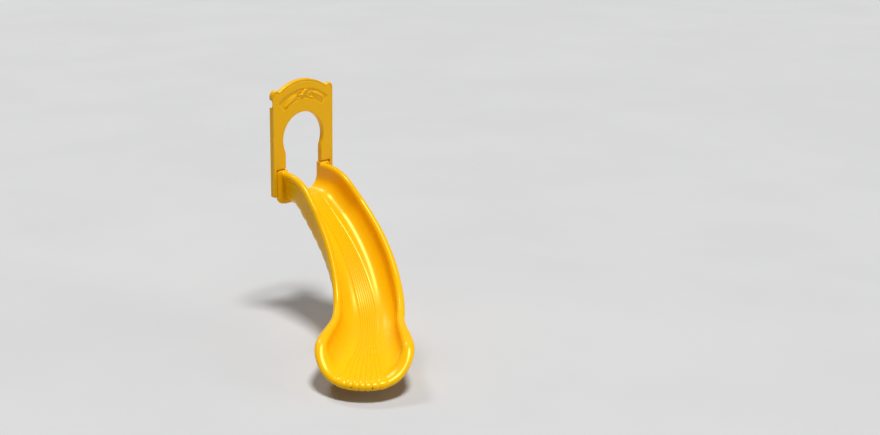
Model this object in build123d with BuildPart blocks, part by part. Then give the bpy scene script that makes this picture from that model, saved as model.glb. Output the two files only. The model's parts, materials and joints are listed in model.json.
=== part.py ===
"""Curved single-bed playground slide with an arched entrance panel.

Origin: centre of the deck bolt pattern, on the plane where the slide meets the deck edge.
+Z is up, the deck is on the +Y side, and the bed leaves towards -Y and bends towards -X.
"""
import os
from math import cos, pi, radians, sin, sqrt, tan
from build123d import *

# --- route of the bed, along its centre line in plan (mm, degrees) ---
bed_level = 100.0          # bed surface at the deck edge, above the deck bolts
straight_run = 570.0       # from the deck edge to the start of the bend
bend_radius = 1785.0
bend_angle = 46.0
slope_max = 39.3
slope_exit = 2.8
ramp_start = 150.0
ramp_end = 405.0           # full slope from here
easing_start = 1240.0
easing_end = 2390.0        # run-out slope from here
flare_start = 1985.0
flare_end = 2774.0         # widest place, where the lip begins to close
lip_depth = 414.0          # from the widest place to the middle of the front roll
deck_height = 1524.0       # bed at the deck edge, above the ground

# --- cross-section of the bed, square to its slope ---
rim_half_start = 311.0     # from the centre line to the middle of the rolled rim
rim_half_run = 367.0
rim_half_exit = 498.0
rim_widening = 600.0       # length over which the throat opens to the run
rim_r = 47.0               # also the round of the front roll, which is tangent to the bed
rim_height_start = 268.0
rim_height_run = 220.0
rim_height_exit = 215.0
rim_easing = 700.0         # length over which the rim sinks to its running height
floor_fillet = 175.0       # round between the bed and each side
bed_depth = 60.0           # bed surface to underside
flank_inset = 37.0         # how far the outer side stands in from the rim's outside
lip_power = 1.95           # roundness of the lip in plan
skin = 6.4                 # wall of the moulded shells
run_steps = 32             # straight-sided lengths that make up the run, and the lip
lip_steps = 9

# --- flange and throat of the chute ---
flange_half = 420.0
flange_thick = 34.0
flange_below = 92.0
flange_above = 330.0
flange_corner = 90.0
flange_top_corner = 40.0
throat_clear = 2.0         # between the throat and each leg of the panel

# --- entrance panel ---
panel_width = 950.0
panel_thick = 70.0
rebate_depth = 30.0        # the flange sits in it
rebate_clear = 5.0
shoulder_top = 1325.0      # heights from the panel's foot, which is level with the bed
shoulder_side = 1268.0
shoulder_crest = panel_width / 2 - 57
valley_half = panel_width / 2 - 109
valley_top = 1302.0
arch_top = 1418.0
head_radius = 318.0
head_height = 697.0
neck_half = 282.0
neck_blend = 150.0         # round where the keyhole's head meets its neck
frieze_depth = 9.0
frieze_inner = 474.0       # radii of the leaf frieze about the keyhole's centre
frieze_outer = 612.0
frieze_half_angle = 39.8
post_diameter = 127.0
post_centres = panel_width + 117     # the posts stand in the panel's hollow sides
post_clear = 3.0
clamp_height = 1165.0
clamp_radius = 50.0        # scallop in the rear edge for the post clamp
clamp_reach = 55.0
lower_fix_height = 430.0
lower_fix_half = 376.0
edge_round = 9.0
flange_bolt_half = 351.0
flange_bolt_heights = (60.0, 175.0, 290.0)

# --- hardware ---
bolt_r = 5.0
bore_clear = 0.05
hole_r = 5.5
head_across = 16.0
head_high = 6.4
washer_r = 10.5
washer_thick = 2.0
insert_r = 8.0
insert_len = 25.0
bolt_in_insert = 20.0
boss_r = 15.0              # solid plastic round each insert and through bolt
nut_high = 8.0
plug_r = 9.0
plug_cap_r = 12.0
plug_stem = 14.0
plug_cap = 3.0
plug_gap = 0.2             # under the cap, where the underside curves
chute_plug_runs = (900.0, 1850.0)
panel_plug_x = 300.0
panel_plug_height = 1120.0
drain_r = 6.0
drain_half = 115.0
drain_long = 22.0

# --- deck bracket ---
bracket_wide = 520.0
bracket_steel = 6.0
bracket_deep = 38.0
bracket_high = 62.0
deck_hole_x = 400.0
deck_hole_z = 20.0
deck_hole_r = 5.5
bracket_bolt_places = (-200.0, 0.0, 200.0)
bracket_bolt_y = 22.0

# --- exit support ---
support_run = 2330.0
pad_long = 200.0
pad_wide = 240.0
pad_depth = 14.0
saddle_long = 180.0
saddle_wide = 220.0
saddle_steel = 8.0
saddle_bolt_x = 160.0
saddle_bolt_y = 110.0
stub_wall = 4.0
stub_long = 70.0
leg_r = 30.15
leg_wall = 4.0
stub_clear = 0.15
stub_r = leg_r - leg_wall - stub_clear     # slides inside the leg
leg_gap = 12.0             # open height between the saddle and the top of the leg
foot_size = 200.0
foot_steel = 10.0
foot_hole_gap = 150.0
foot_hole_r = 7.0
cross_bolt_drop = 42.0     # below the saddle plate

tip = flare_end + lip_depth
roll_level = -rim_r        # middle of the front roll, from the bed
flange_front = panel_thick - rebate_depth + flange_thick
flange_back = flange_front - flange_thick
ground = bed_level - deck_height
os.makedirs("parts", exist_ok=True)


# ---------------------------------------------------------------- route and section
def ease(t):
    t = min(max(t, 0.0), 1.0)
    return t * t * (3 - 2 * t)


def slope(s):
    """Slope of the bed in degrees, at a distance s along its plan."""
    falling = ease((s - ramp_start) / (ramp_end - ramp_start))
    levelling = ease((s - easing_start) / (easing_end - easing_start))
    return slope_max * falling * (1 - levelling) + slope_exit * levelling


def bed_height(s, steps=120):
    """Height of the bed, by adding up its slope (Simpson's rule)."""
    step = s / (2 * steps)
    fall = 0.0
    for i in range(2 * steps + 1):
        weight = 1 if i in (0, 2 * steps) else (4 if i % 2 else 2)
        fall += weight * tan(radians(slope(i * step)))
    return bed_level - fall * step / 3


def route(s):
    """Point on the bed's centre line and the heading angle there."""
    turn = min(max((s - straight_run) / bend_radius, 0.0), radians(bend_angle))
    after = max(s - straight_run - bend_radius * radians(bend_angle), 0.0)
    x = -bend_radius * (1 - cos(turn)) - after * sin(turn)
    y = -min(s, straight_run) - bend_radius * sin(turn) - after * cos(turn)
    return x, y, turn


def station(s):
    """Plane square to the bed: local X points left to right, local Y up, Z downhill."""
    x, y, turn = route(s)
    fall = radians(slope(s))
    downhill = (-sin(turn) * cos(fall), -cos(turn) * cos(fall), -sin(fall))
    return Plane(origin=(x, y, bed_height(s)), x_dir=(cos(turn), -sin(turn), 0), z_dir=downhill)


def closing(t):
    return max(1 - min(t, 1.0) ** lip_power, 0.0) ** (1 / lip_power)


def rim_half(s):
    opening = ease((s - flange_front) / rim_widening)
    flaring = ease((s - flare_start) / (flare_end - flare_start))
    wide = rim_half_start + (rim_half_run - rim_half_start) * opening
    return wide + (rim_half_exit - rim_half_run) * flaring


def rim_height(s):
    sinking = ease((s - flange_front) / rim_easing)
    lifting = ease((s - easing_start) / (flare_end - easing_start))
    closing_down = ease((s - flare_end + 100) / (lip_depth + 100))
    level = rim_height_start + (rim_height_run - rim_height_start) * sinking
    level += (rim_height_exit - rim_height_run) * lifting
    return level + (roll_level - rim_height_exit) * closing_down


def half_outline(s, inset=0.0):
    """Right half of the section: the upper and the lower run of points, meeting at the rim."""
    radius = rim_r - inset
    level = rim_height(s)
    ahead = max(s - flare_end, 0.0)
    outer = rim_half(s) + rim_r
    inner = rim_half(s) - rim_r
    outer *= closing(ahead / (lip_depth + rim_r))
    inner *= closing(ahead / (lip_depth - rim_r))
    inner = max(inner, 0.45 * outer) + inset
    outer -= inset
    middle = (inner + outer) / 2
    front = max(s - tip, 0.0)
    roll = sqrt(max(rim_r ** 2 - front ** 2, 0.0)) - inset
    top = -inset
    under = -bed_depth + (roll_level - rim_r + bed_depth) * ease(ahead / lip_depth) + inset
    if front > 0:
        top = roll_level + roll
        under = roll_level - roll
    crest = level + radius
    fillet = min(floor_fillet, 0.62 * inner)
    knee = min(fillet, 0.75 * (crest - top))
    flat = inner - fillet
    lean = 0.5 * sqrt(2)
    half_roll = (outer - inner) / 2
    neck = max(crest - (1 - lean) * radius, top + 0.6 * (crest - top))
    tray = [(flat, top)]
    tray += [(flat + fillet * sin(a), top + knee * (1 - cos(a))) for a in (pi / 6, pi / 3)]
    tray += [(inner, top + knee), (middle - half_roll * lean, neck)]
    tray += [(middle, crest), (middle + half_roll * lean, neck), (outer, level)]
    flank = outer - flank_inset
    drop = level - under
    tuck = min(1.5 * rim_r, 0.7 * drop)
    side = [(outer, level), (outer - 0.3 * radius, level - min(0.72 * radius, 0.4 * drop))]
    side += [(flank, level - tuck), (flank - 12, level - tuck - 0.55 * (drop - tuck))]
    side += [(flank - 90, under)]
    # the slab is the shape at the front roll, a rounded end with no standing rim
    blend = ease(ahead / lip_depth)
    angles = [0, 12, 24, 38, 52, 64, 77, 90]
    slab = [(flat + (outer - flat) * sin(radians(a)), level + (top - level) * cos(radians(a)))
            for a in angles]
    angles = [90, 68, 45, 22, 0]
    slab_low = 0.6 * outer
    slab_side = [(slab_low + (outer - slab_low) * sin(radians(a)),
                  level + (under - level) * cos(radians(a))) for a in angles]
    upper = [(a[0] + (b[0] - a[0]) * blend, a[1] + (b[1] - a[1]) * blend)
             for a, b in zip(tray, slab)]
    lower = [(a[0] + (b[0] - a[0]) * blend, a[1] + (b[1] - a[1]) * blend)
             for a, b in zip(side, slab_side)]
    return upper, lower


def section(s, inset=0.0):
    """Closed outline of the chute at s, as a sketch in its own plane."""
    upper, lower = half_outline(s, inset)
    with BuildSketch(station(s)) as outline:
        with BuildLine():
            for side in (1, -1):
                Spline(*[(side * u, v) for u, v in upper], tangents=[(side, 0), (0, -1)])
                Spline(*[(side * u, v) for u, v in lower], tangents=[(0, -1), (-side, 0)])
            Line((-upper[0][0], upper[0][1]), (upper[0][0], upper[0][1]))
            Line((-lower[-1][0], lower[-1][1]), (lower[-1][0], lower[-1][1]))
        make_face()
    return outline.sketch


def tray_opening(plane):
    """The clear space above the bed at the throat, between the inner walls."""
    inner = rim_half_start - rim_r
    flat = inner - floor_fillet
    above = flange_above + 200
    lean = floor_fillet * 0.5 * sqrt(2)
    with BuildSketch(plane) as opening:
        with BuildLine():
            Line((-flat, 0), (flat, 0))
            for side in (1, -1):
                foot = (side * flat, 0)
                bow = (side * (flat + lean), floor_fillet - lean)
                knee = (side * inner, floor_fillet)
                ThreePointArc(foot, bow, knee)
                Line(knee, (side * inner, above))
            Line((-inner, above), (inner, above))
        make_face()
    return opening.sketch


# ---------------------------------------------------------------- hardware in groups
def bolts(plane, places, grip, beyond):
    """Hex bolts seen from their heads: washers first, then the head, the shank behind."""
    with BuildPart() as group:
        with BuildSketch(plane.offset(washer_thick)):
            with Locations(*places):
                RegularPolygon(head_across / 2, 6, major_radius=False)
        extrude(amount=head_high)
        with BuildSketch(plane.offset(washer_thick)):
            with Locations(*places):
                Circle(bolt_r)
        extrude(amount=-(washer_thick + grip + beyond))
    return group.part


def washers(plane, places):
    with BuildPart() as group:
        with BuildSketch(plane):
            with Locations(*places):
                Circle(washer_r)
                Circle(hole_r, mode=Mode.SUBTRACT)
        extrude(amount=washer_thick)
    return group.part


def nuts(plane, places):
    with BuildPart() as group:
        with BuildSketch(plane):
            with Locations(*places):
                RegularPolygon(head_across / 2, 6, major_radius=False)
                Circle(bolt_r + bore_clear, mode=Mode.SUBTRACT)
        extrude(amount=nut_high)
    return group.part


def inserts(plane, places):
    """Flanged-in threaded sleeves, blind at the far end, mouths on the plane."""
    with BuildPart() as group:
        with BuildSketch(plane):
            with Locations(*places):
                Circle(insert_r)
        extrude(amount=-insert_len)
        with BuildSketch(plane):
            with Locations(*places):
                Circle(bolt_r + bore_clear)
        extrude(amount=-(bolt_in_insert + 1), mode=Mode.SUBTRACT)
    return group.part


def plugs(planes):
    """Push-in vent plugs, one on each plane, caps outside."""
    with BuildPart() as group:
        for plane in planes:
            with BuildSketch(plane):
                Circle(plug_cap_r)
            extrude(amount=plug_cap)
            with BuildSketch(plane):
                Circle(plug_r)
            extrude(amount=-plug_stem)
    return group.part


def save(part, name):
    part.label = name
    export_step(part, "parts/" + name + ".step")


# ---------------------------------------------------------------- planes the pieces share
face = Plane(origin=(0, 0, bed_level), x_dir=(1, 0, 0), z_dir=(0, -1, 0))
back = Plane(origin=(0, 0, bed_level), x_dir=(-1, 0, 0), z_dir=(0, 1, 0))
throat_under = Plane(origin=(0, 0, bed_level - bed_depth), x_dir=(1, 0, 0), z_dir=(0, 0, -1))
bracket_under = throat_under.offset(bracket_steel)
flange_places = [(side * flange_bolt_half, v) for side in (1, -1) for v in flange_bolt_heights]
bracket_places = [(x, bracket_bolt_y) for x in bracket_bolt_places]
flange_rear = back.offset(-flange_back)

support_x, support_y, support_turn = route(support_run)
pad_under = bed_height(support_run) - bed_depth - pad_depth
pad = Plane(origin=(support_x, support_y, pad_under),
            x_dir=(cos(support_turn), -sin(support_turn), 0), z_dir=(0, 0, -1))
saddle_under = pad.offset(saddle_steel)
saddle_places = [(side * saddle_bolt_x / 2, end * saddle_bolt_y / 2)
                 for side in (1, -1) for end in (1, -1)]
leg_top = pad_under - saddle_steel - leg_gap
foot_top = ground + foot_steel
cross_height = pad_under - saddle_steel - cross_bolt_drop
cross_axis = (cos(support_turn), -sin(support_turn), 0)
cross_end = (-cross_axis[0], -cross_axis[1], 0)
cross_head = Plane(origin=(support_x + leg_r * cross_axis[0], support_y + leg_r * cross_axis[1],
                           cross_height), x_dir=(0, 0, 1), z_dir=cross_axis)
cross_tail = Plane(origin=(support_x + leg_r * cross_end[0], support_y + leg_r * cross_end[1],
                           cross_height), x_dir=(0, 0, 1), z_dir=cross_end)

chute_plug_planes = []
for run in chute_plug_runs:
    here = station(run)
    low = here.origin - here.y_dir * (bed_depth + plug_gap)
    chute_plug_planes.append(Plane(origin=low, x_dir=here.x_dir, z_dir=-here.y_dir))
panel_plug_planes = [Plane(origin=(x, 0, bed_level + panel_plug_height), x_dir=(-1, 0, 0),
                           z_dir=(0, 1, 0)) for x in (-panel_plug_x, panel_plug_x)]
clamp_wall = panel_width / 2 - clamp_reach
clamp_planes = [Plane(origin=(side * clamp_wall, -clamp_radius / 2, bed_level + clamp_height),
                      x_dir=(0, side, 0), z_dir=(side, 0, 0)) for side in (1, -1)]
lower_fix_places = [(side * lower_fix_half, lower_fix_height) for side in (1, -1)]
drain_plane = station(tip + rim_r - drain_long)
drain_places = [(side * drain_half, roll_level) for side in (1, -1)]

# ---------------------------------------------------------------- chute
run_length = flare_end - flange_front
run_stations = [flange_front + i * run_length / run_steps for i in range(1, run_steps)]
lip_stations = [flare_end + i * lip_depth / lip_steps for i in range(lip_steps)]
nose_stations = [tip + share * rim_r for share in (0, 0.5, 0.8, 0.95)]

with BuildPart() as chute_hollow:
    hollow_stations = [flange_front + skin] + run_stations + lip_stations
    loft([section(s, skin) for s in hollow_stations], ruled=True)

with BuildPart() as slide_chute:
    chute_stations = [flange_front] + run_stations + lip_stations + nose_stations
    loft([section(s) for s in chute_stations], ruled=True)
    add(chute_hollow.part, mode=Mode.SUBTRACT)
    # throat, between the legs of the panel
    throat_half = neck_half - throat_clear
    with BuildSketch(face):
        with Locations((0, (flange_above - bed_depth) / 2)):
            Rectangle(2 * throat_half, flange_above + bed_depth)
        add(tray_opening(Plane.XY), mode=Mode.SUBTRACT)
    extrude(amount=flange_back)
    # flange, which the panel is bolted to from behind
    with BuildSketch(face.offset(flange_back)) as flange_view:
        with Locations((0, (flange_above - flange_below) / 2)):
            Rectangle(2 * flange_half, flange_above + flange_below)
        fillet(flange_view.vertices().filter_by(lambda v: v.Y < 0), radius=flange_corner)
        fillet(flange_view.vertices().filter_by(lambda v: v.Y > flange_above - 1),
               radius=flange_top_corner)
        add(tray_opening(Plane.XY), mode=Mode.SUBTRACT)
    extrude(amount=flange_thick)
    # level pad for the exit support
    with BuildSketch(pad):
        RectangleRounded(pad_wide, pad_long, 20)
    extrude(amount=-(pad_depth + bed_depth - 2 * skin))
    # pockets for the threaded inserts
    with BuildSketch(flange_rear):
        with Locations(*flange_places):
            Circle(insert_r)
    extrude(amount=-insert_len, mode=Mode.SUBTRACT)
    with BuildSketch(throat_under):
        with Locations(*bracket_places):
            Circle(insert_r)
    extrude(amount=-insert_len, mode=Mode.SUBTRACT)
    with BuildSketch(pad):
        with Locations(*saddle_places):
            Circle(insert_r)
    extrude(amount=-insert_len, mode=Mode.SUBTRACT)
    # vent holes in the underside and drain holes in the front roll
    for plane in chute_plug_planes:
        with BuildSketch(plane):
            Circle(plug_r)
        extrude(amount=-2 * skin, mode=Mode.SUBTRACT)
    with BuildSketch(drain_plane):
        with Locations(*drain_places):
            Circle(drain_r)
    extrude(amount=2 * drain_long, mode=Mode.SUBTRACT)

# ---------------------------------------------------------------- entrance panel
leg_back = panel_thick - rebate_depth


def panel_outline():
    """Arched front view of the panel with its keyhole, from its foot up."""
    half = panel_width / 2
    corner = (half, shoulder_side)
    crest = (shoulder_crest, shoulder_top)
    bow = (half - 15, shoulder_top - 17)
    valley = (valley_half, valley_top)
    with BuildSketch() as view:
        with BuildLine():
            Line((-half, 0), (half, 0))
            for side in (1, -1):
                Line((side * half, 0), (side * corner[0], corner[1]))
                ThreePointArc((side * corner[0], corner[1]), (side * bow[0], bow[1]),
                              (side * crest[0], crest[1]))
                Line((side * crest[0], crest[1]), (side * valley[0], valley[1]))
            ThreePointArc((-valley[0], valley[1]), (0, arch_top), valley)
        make_face()
        with Locations((0, head_height)):
            Circle(head_radius, mode=Mode.SUBTRACT)
        with Locations((0, head_height / 2)):
            Rectangle(2 * neck_half, head_height, mode=Mode.SUBTRACT)
        joint = head_height - sqrt(head_radius ** 2 - neck_half ** 2)
        fillet(view.vertices().filter_by(lambda v: abs(v.Y - joint) < 1), radius=neck_blend)
    return view.sketch


def boss_circles(places):
    with BuildSketch() as circles:
        with Locations(*places):
            Circle(boss_r)
    return circles.sketch


with BuildPart() as panel_hollow:
    with BuildSketch(face.offset(skin)):
        offset(panel_outline(), amount=-2 * skin, kind=Kind.INTERSECTION)
        add(boss_circles(flange_places + lower_fix_places), mode=Mode.SUBTRACT)
        with Locations(*[(side * clamp_wall, clamp_height) for side in (1, -1)]):
            Rectangle(2 * clamp_reach, 2 * clamp_radius + 4 * skin, mode=Mode.SUBTRACT)
    extrude(amount=leg_back - 2 * skin)

with BuildPart() as entrance_panel:
    with BuildSketch(face):
        add(panel_outline())
    extrude(amount=panel_thick)
    rims = entrance_panel.edges().filter_by(Plane.XZ)
    fillet(rims, radius=edge_round)
    # rebate for the flange of the chute
    with BuildSketch(face.offset(leg_back)):
        with Locations((0, (flange_above + rebate_clear) / 2)):
            Rectangle(2 * (flange_half + rebate_clear), flange_above + rebate_clear)
    extrude(amount=rebate_depth, mode=Mode.SUBTRACT)
    # hollow sides that hug the round posts
    with BuildSketch(Plane.XY.offset(bed_level)):
        with Locations(*[(side * post_centres / 2, -panel_thick / 2) for side in (1, -1)]):
            Circle(post_diameter / 2 + post_clear)
    extrude(amount=shoulder_side - edge_round, mode=Mode.SUBTRACT)
    # scallops for the post clamps
    for side in (1, -1):
        with BuildSketch(Plane(origin=(side * clamp_wall, 0, bed_level + clamp_height),
                               x_dir=(0, side, 0), z_dir=(side, 0, 0))):
            Circle(clamp_radius)
        extrude(amount=clamp_reach + 1, mode=Mode.SUBTRACT)
    # recess of the leaf frieze
    with BuildSketch(face.offset(panel_thick - frieze_depth)):
        with Locations((0, head_height)):
            Circle(frieze_outer)
            Circle(frieze_inner, mode=Mode.SUBTRACT)
        with BuildLine():
            reach = 2 * frieze_outer
            spread = radians(frieze_half_angle)
            Polyline((0, head_height), (reach * sin(spread), head_height + reach * cos(spread)),
                     (-reach * sin(spread), head_height + reach * cos(spread)), close=True)
        make_face(mode=Mode.INTERSECT)
    extrude(amount=frieze_depth, mode=Mode.SUBTRACT)
    add(panel_hollow.part, mode=Mode.SUBTRACT)
    # through holes, insert pockets and vents
    with BuildSketch(back):
        with Locations(*flange_places):
            Circle(hole_r)
    extrude(amount=-leg_back, mode=Mode.SUBTRACT)
    with BuildSketch(back):
        with Locations(*lower_fix_places):
            Circle(insert_r)
    extrude(amount=-insert_len, mode=Mode.SUBTRACT)
    for plane in clamp_planes:
        with BuildSketch(plane):
            Circle(insert_r)
        extrude(amount=-insert_len, mode=Mode.SUBTRACT)
    for plane in panel_plug_planes:
        with BuildSketch(plane):
            Circle(plug_r)
        extrude(amount=-2 * skin, mode=Mode.SUBTRACT)

# ---------------------------------------------------------------- deck bracket
with BuildPart() as deck_bracket:
    with BuildSketch(throat_under):
        with Locations((0, bracket_deep / 2)):
            Rectangle(bracket_wide, bracket_deep)
        with Locations(*bracket_places):
            Circle(hole_r, mode=Mode.SUBTRACT)
    extrude(amount=bracket_steel)
    with BuildSketch(face):
        with Locations((0, -bed_depth - bracket_high / 2)):
            Rectangle(bracket_wide, bracket_high)
    extrude(amount=bracket_steel)
    corner_line = deck_bracket.edges().filter_by(Axis.X).filter_by(
        lambda e: abs(e.center().Y + bracket_steel) < 0.1
        and abs(e.center().Z - (bed_level - bed_depth - bracket_steel)) < 0.1)
    fillet(corner_line, radius=bracket_steel - 1)
    with BuildSketch(Plane(origin=(0, 0, 0), x_dir=(1, 0, 0), z_dir=(0, -1, 0))):
        with GridLocations(deck_hole_x, deck_hole_z, 2, 2):
            Circle(deck_hole_r)
    extrude(amount=bracket_steel, mode=Mode.SUBTRACT)

# ---------------------------------------------------------------- exit support
with BuildPart() as support_saddle:
    with BuildSketch(pad):
        RectangleRounded(saddle_wide, saddle_long, 12)
        with Locations(*saddle_places):
            Circle(hole_r, mode=Mode.SUBTRACT)
    extrude(amount=saddle_steel)
    with BuildSketch(saddle_under):
        Circle(stub_r)
        Circle(stub_r - stub_wall, mode=Mode.SUBTRACT)
    extrude(amount=stub_long)
    with BuildSketch(cross_head):
        Circle(hole_r)
    extrude(amount=-2 * leg_r, mode=Mode.SUBTRACT)

with BuildPart() as support_leg:
    with BuildSketch(Plane(origin=(support_x, support_y, foot_top))):
        Circle(leg_r)
        Circle(leg_r - leg_wall, mode=Mode.SUBTRACT)
    extrude(amount=leg_top - foot_top)
    with BuildSketch(cross_head):
        Circle(hole_r)
    extrude(amount=-2 * leg_r, mode=Mode.SUBTRACT)

with BuildPart() as leg_foot_plate:
    with BuildSketch(Plane(origin=(support_x, support_y, ground), x_dir=(1, 0, 0))):
        RectangleRounded(foot_size, foot_size, 15)
        with GridLocations(foot_hole_gap, foot_hole_gap, 2, 2):
            Circle(foot_hole_r, mode=Mode.SUBTRACT)
    extrude(amount=foot_steel)

with BuildPart() as lip_drain_plugs:
    with BuildSketch(drain_plane):
        with Locations(*drain_places):
            Circle(drain_r)
    extrude(amount=drain_long - 4)

# ---------------------------------------------------------------- files, one for each piece
centre = [(0, 0)]
save(slide_chute.part, "slide_chute")
save(entrance_panel.part, "entrance_panel")
save(deck_bracket.part, "deck_bracket")
save(support_saddle.part, "support_saddle")
save(support_leg.part, "support_leg")
save(leg_foot_plate.part, "leg_foot_plate")
save(lip_drain_plugs.part, "lip_drain_plugs")
save(plugs(chute_plug_planes), "chute_vent_plugs")
save(plugs(panel_plug_planes), "panel_vent_plugs")

save(bolts(back, flange_places, leg_back, bolt_in_insert), "flange_bolts")
save(washers(back, flange_places), "flange_washers")
save(inserts(flange_rear, flange_places), "flange_inserts")

save(bolts(bracket_under, bracket_places, bracket_steel, bolt_in_insert), "bracket_bolts")
save(washers(bracket_under, bracket_places), "bracket_washers")
save(inserts(throat_under, bracket_places), "bracket_inserts")

save(bolts(saddle_under, saddle_places, saddle_steel, bolt_in_insert), "saddle_bolts")
save(washers(saddle_under, saddle_places), "saddle_washers")
save(inserts(pad, saddle_places), "saddle_inserts")

cross_grip = 2 * leg_r + washer_thick + nut_high
save(bolts(cross_head, centre, cross_grip, 3), "leg_cross_bolt")
with BuildPart() as leg_cross_washers:
    add(washers(cross_head, centre))
    add(washers(cross_tail, centre))
save(leg_cross_washers.part, "leg_cross_washers")
save(nuts(cross_tail.offset(washer_thick), centre), "leg_cross_nut")

with BuildPart() as clamp_inserts:
    for plane in clamp_planes:
        add(inserts(plane, centre))
save(clamp_inserts.part, "clamp_inserts")
save(inserts(back, lower_fix_places), "lower_panel_inserts")
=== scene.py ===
"""Looks of a curved playground slide with an arched entrance panel.

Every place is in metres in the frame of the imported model: +Z up, the deck at +Y, the bed leaving
towards -Y and bending towards -X. On the chute, s runs along the plan of the bed from the deck,
u to its right and v square to it. On the panel, x runs to the right and z up from the bed.
"""

import json
from math import acos, asin, cos, pi, radians, sin

import bmesh
import bpy
import numpy as np
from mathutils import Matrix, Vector


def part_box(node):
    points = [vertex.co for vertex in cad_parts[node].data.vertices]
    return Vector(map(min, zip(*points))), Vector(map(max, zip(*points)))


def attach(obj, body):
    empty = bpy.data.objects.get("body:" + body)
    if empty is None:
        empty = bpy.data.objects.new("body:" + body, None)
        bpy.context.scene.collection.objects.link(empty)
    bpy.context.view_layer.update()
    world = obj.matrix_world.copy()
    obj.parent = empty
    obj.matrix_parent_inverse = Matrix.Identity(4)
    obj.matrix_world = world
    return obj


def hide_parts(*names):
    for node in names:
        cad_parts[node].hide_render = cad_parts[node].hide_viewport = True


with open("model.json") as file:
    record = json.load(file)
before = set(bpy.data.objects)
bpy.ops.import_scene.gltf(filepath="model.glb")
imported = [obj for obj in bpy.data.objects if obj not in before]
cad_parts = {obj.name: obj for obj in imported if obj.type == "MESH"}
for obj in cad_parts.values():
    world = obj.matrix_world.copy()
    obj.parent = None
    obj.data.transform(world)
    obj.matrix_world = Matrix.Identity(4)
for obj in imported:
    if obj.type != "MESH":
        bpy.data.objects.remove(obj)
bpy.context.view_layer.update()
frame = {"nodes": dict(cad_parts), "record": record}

# ---------------------------------------------------------------- driving sizes, metres and degrees
BED_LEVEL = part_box("entrance_panel")[0][2]
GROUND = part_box("leg_foot_plate")[0][2]

# route of the bed
STRAIGHT_RUN = 0.570
BEND_RADIUS = 1.785
BEND_ANGLE = 46.0
SLOPE_MAX, SLOPE_EXIT = 39.3, 2.8
RAMP = (0.150, 0.405)           # where the bed tips over
EASING = (1.240, 2.390)         # where it levels out
FLARE = (1.985, 2.774)          # where the sides open out
LIP_DEPTH = 0.414               # from the flare's end to the tip
LIP_POWER = 1.95                # how square the lip is in plan
TIP = FLARE[1] + LIP_DEPTH

# rims and sides
RUN_START = 0.074
RIM_R = 0.047
RIM_HALF = (0.311, 0.367, 0.498)        # at the throat, in the run and at the flare's end
RIM_WIDENING = 0.600
RIM_HEIGHT = (0.268, 0.220, 0.215)
RIM_EASING = 0.700
FLOOR_FILLET = 0.175
BED_DEPTH = 0.060
FLARE_REACH, LIP_REACH = 0.42, 0.70     # how much wider the roll gets in the flare and at the lip
LIP_RISE = 0.20                         # how much taller it gets at the lip
ROLL_TURN = (150, 30)                   # how far it curls under, and how much more at the lip

# grooved strip of the bed
STRIP_HALF = (0.092, 0.215)     # in the run and at the lip
STRIP_FAN = 2.150               # where it starts to fan out
STRIP_START = 0.170
RIBS = 7
GROOVE_DEPTH = 0.0036
GROOVE_SHARE = 0.15             # of a rib's width, each side of the groove
EDGE_GROOVES = 0.7              # how much deeper the two outer grooves are
RIB_CROWN = (0.0006, 0.0034)    # height of a rib in the run, and what the fan adds
RIB_STEPS = (0, 0.07, 0.15, 0.32, 0.5, 0.68, 0.85, 0.93)

# cross ribs under the bed
CROSS_RIBS = (0.13, 2.85)
CROSS_PITCH = 0.128
CROSS_DEPTH = 0.019

# entrance panel
PANEL_HALF = 0.475
PANEL_THICK = 0.070
REBATE = 0.030
EDGE_ROUND = 0.009
FOOT_ROUND = 0.024
SHOULDER_SIDE, SHOULDER_TOP = 1.268, 1.325
SHOULDER_CREST = 0.418
VALLEY = (0.366, 1.302)
ARCH_TOP = 1.418
HEAD_R, HEAD_HEIGHT = 0.318, 0.697
NECK_HALF = 0.282
NECK_BLEND = 0.150
POST_R, POST_X = 0.0665, 0.5335
CLAMP_HEIGHT, CLAMP_R, CLAMP_REACH = 1.165, 0.050, 0.055
CLAMP_SPLIT = -0.026            # front to back, where the rows part to follow the scallop
CLAMP_DEPTH = 0.046
FRIEZE = (0.474, 0.612)
FRIEZE_ANGLE = 39.8
FRIEZE_DEPTH = 0.009
FOLIAGE_HEIGHT = 1.6            # taken on the heights of the leaves and stems below

# flange of the chute
FLANGE_HALF, FLANGE_BELOW, FLANGE_ABOVE = 0.420, 0.092, 0.330
FLANGE_TOP_ROUND, FLANGE_FOOT_ROUND = 0.04, 0.09
FLANGE_BACK = PANEL_THICK - REBATE
FLANGE_CLEAR = 0.005
REBATE_TOP = FLANGE_ABOVE + 0.018
THROAT_HALF, THROAT_ROUND = NECK_HALF - 0.002, 0.05


# ---------------------------------------------------------------- curves
def ease(t):
    t = np.clip(t, 0.0, 1.0)
    return t * t * (3 - 2 * t)


def lengths_along(points):
    """Distance from the first point of a polyline to each of its points."""
    return np.concatenate([[0], np.cumsum(np.linalg.norm(np.diff(points, axis=0), axis=1))])


def resample(points, count):
    """Points of a polyline, evenly spaced along it."""
    points = np.asarray(points, float)
    along = lengths_along(points)
    wanted = np.linspace(0, along[-1], count)
    return np.stack([np.interp(wanted, along, column) for column in points.T], -1)


def smooth_line(points, per_span=8):
    """Catmull-Rom curve through a few points."""
    p = np.asarray(points, float)
    p = np.vstack([2 * p[0] - p[1], p, 2 * p[-1] - p[-2]])
    out = []
    for i in range(1, len(p) - 2):
        for t in np.linspace(0, 1, per_span, endpoint=False):
            a = 2 * p[i] + (p[i + 1] - p[i - 1]) * t
            b = (2 * p[i - 1] - 5 * p[i] + 4 * p[i + 1] - p[i + 2]) * t * t
            c = (3 * p[i] - p[i - 1] - 3 * p[i + 1] + p[i + 2]) * t ** 3
            out.append((a + b + c) / 2)
    return np.vstack([out, p[-2]])


def arc(cx, cz, r, start, end, count=10):
    return [(cx + r * cos(radians(a)), cz + r * sin(radians(a)))
            for a in np.linspace(start, end, count)]


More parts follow.
